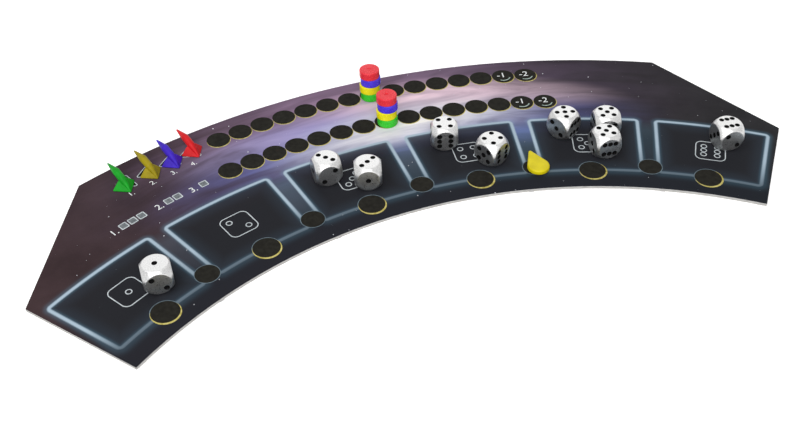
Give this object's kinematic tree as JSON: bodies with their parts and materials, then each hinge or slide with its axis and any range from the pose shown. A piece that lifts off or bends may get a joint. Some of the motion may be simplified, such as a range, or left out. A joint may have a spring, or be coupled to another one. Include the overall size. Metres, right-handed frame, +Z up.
{
  "type": "dice board with playing pieces",
  "caption": "Arc-shaped printed board of a strategy game, with rounded dice, stacked track discs, dart pawns and a drop marker that lift off it.",
  "frame": {"origin": "under the middle of the board's outline, on the underside of the backing paper", "axes": "+X along the board's length, +Y towards the outer arc, +Z up from the table"},
  "size_m": [0.339, 0.1477, 0.0175],
  "materials": {
    "greyboard": "die-cut greyboard edge",
    "face_paper": "satin coated print",
    "back_paper": "uncoated liner",
    "die_silver": "pearl silver, painted pips",
    "disc_green": "moulded gloss",
    "disc_yellow": "moulded gloss",
    "disc_blue": "moulded gloss",
    "disc_red": "moulded gloss",
    "pawn_green": "moulded satin",
    "pawn_yellow": "moulded satin",
    "pawn_blue": "moulded satin",
    "pawn_red": "moulded satin",
    "drop_yellow": "moulded gloss"
  },
  "bodies": {
    "board": {"board_core": "greyboard", "face_sheet": "face_paper", "back_sheet": "back_paper"},
    "die_one": {"die_one": "die_silver"},
    "die_three_a": {"die_three_a": "die_silver"},
    "die_three_b": {"die_three_b": "die_silver"},
    "die_four_a": {"die_four_a": "die_silver"},
    "die_four_b": {"die_four_b": "die_silver"},
    "die_five_a": {"die_five_a": "die_silver"},
    "die_five_b": {"die_five_b": "die_silver"},
    "die_five_c": {"die_five_c": "die_silver"},
    "die_six": {"die_six": "die_silver"},
    "pawn_green": {"pawn_green": "pawn_green"},
    "pawn_yellow": {"pawn_yellow": "pawn_yellow"},
    "pawn_blue": {"pawn_blue": "pawn_blue"},
    "pawn_red": {"pawn_red": "pawn_red"},
    "drop_marker": {"drop_marker": "drop_yellow"},
    "upper_disc_green": {"upper_disc_green": "disc_green"},
    "upper_disc_yellow": {"upper_disc_yellow": "disc_yellow"},
    "upper_disc_blue": {"upper_disc_blue": "disc_blue"},
    "upper_disc_red": {"upper_disc_red": "disc_red"},
    "lower_disc_green": {"lower_disc_green": "disc_green"},
    "lower_disc_yellow": {"lower_disc_yellow": "disc_yellow"},
    "lower_disc_blue": {"lower_disc_blue": "disc_blue"},
    "lower_disc_red": {"lower_disc_red": "disc_red"}
  },
  "joints": [
    {"name": "die_one_lift", "type": "slide", "parent": "board", "child": "die_one", "axis": [0, 0, 1], "range_m": [0, 0.05]},
    {"name": "die_three_a_lift", "type": "slide", "parent": "board", "child": "die_three_a", "axis": [0, 0, 1], "range_m": [0, 0.05]},
    {"name": "die_three_b_lift", "type": "slide", "parent": "board", "child": "die_three_b", "axis": [0, 0, 1], "range_m": [0, 0.05]},
    {"name": "die_four_a_lift", "type": "slide", "parent": "board", "child": "die_four_a", "axis": [0, 0, 1], "range_m": [0, 0.05]},
    {"name": "die_four_b_lift", "type": "slide", "parent": "board", "child": "die_four_b", "axis": [0, 0, 1], "range_m": [0, 0.05]},
    {"name": "die_five_a_lift", "type": "slide", "parent": "board", "child": "die_five_a", "axis": [0, 0, 1], "range_m": [0, 0.05]},
    {"name": "die_five_b_lift", "type": "slide", "parent": "board", "child": "die_five_b", "axis": [0, 0, 1], "range_m": [0, 0.05]},
    {"name": "die_five_c_lift", "type": "slide", "parent": "board", "child": "die_five_c", "axis": [0, 0, 1], "range_m": [0, 0.05]},
    {"name": "die_six_lift", "type": "slide", "parent": "board", "child": "die_six", "axis": [0, 0, 1], "range_m": [0, 0.05]},
    {"name": "pawn_green_lift", "type": "slide", "parent": "board", "child": "pawn_green", "axis": [0, 0, 1], "range_m": [0, 0.05]},
    {"name": "pawn_yellow_lift", "type": "slide", "parent": "board", "child": "pawn_yellow", "axis": [0, 0, 1], "range_m": [0, 0.05]},
    {"name": "pawn_blue_lift", "type": "slide", "parent": "board", "child": "pawn_blue", "axis": [0, 0, 1], "range_m": [0, 0.05]},
    {"name": "pawn_red_lift", "type": "slide", "parent": "board", "child": "pawn_red", "axis": [0, 0, 1], "range_m": [0, 0.05]},
    {"name": "drop_marker_lift", "type": "slide", "parent": "board", "child": "drop_marker", "axis": [0, 0, 1], "range_m": [0, 0.05]},
    {"name": "upper_disc_green_lift", "type": "slide", "parent": "board", "child": "upper_disc_green", "axis": [0, 0, 1], "range_m": [0, 0.04]},
    {"name": "upper_disc_yellow_lift", "type": "slide", "parent": "upper_disc_green", "child": "upper_disc_yellow", "axis": [0, 0, 1], "range_m": [0, 0.04]},
    {"name": "upper_disc_blue_lift", "type": "slide", "parent": "upper_disc_yellow", "child": "upper_disc_blue", "axis": [0, 0, 1], "range_m": [0, 0.04]},
    {"name": "upper_disc_red_lift", "type": "slide", "parent": "upper_disc_blue", "child": "upper_disc_red", "axis": [0, 0, 1], "range_m": [0, 0.04]},
    {"name": "lower_disc_green_lift", "type": "slide", "parent": "board", "child": "lower_disc_green", "axis": [0, 0, 1], "range_m": [0, 0.04]},
    {"name": "lower_disc_yellow_lift", "type": "slide", "parent": "lower_disc_green", "child": "lower_disc_yellow", "axis": [0, 0, 1], "range_m": [0, 0.04]},
    {"name": "lower_disc_blue_lift", "type": "slide", "parent": "lower_disc_yellow", "child": "lower_disc_blue", "axis": [0, 0, 1], "range_m": [0, 0.04]},
    {"name": "lower_disc_red_lift", "type": "slide", "parent": "lower_disc_blue", "child": "lower_disc_red", "axis": [0, 0, 1], "range_m": [0, 0.04]}
  ]
}
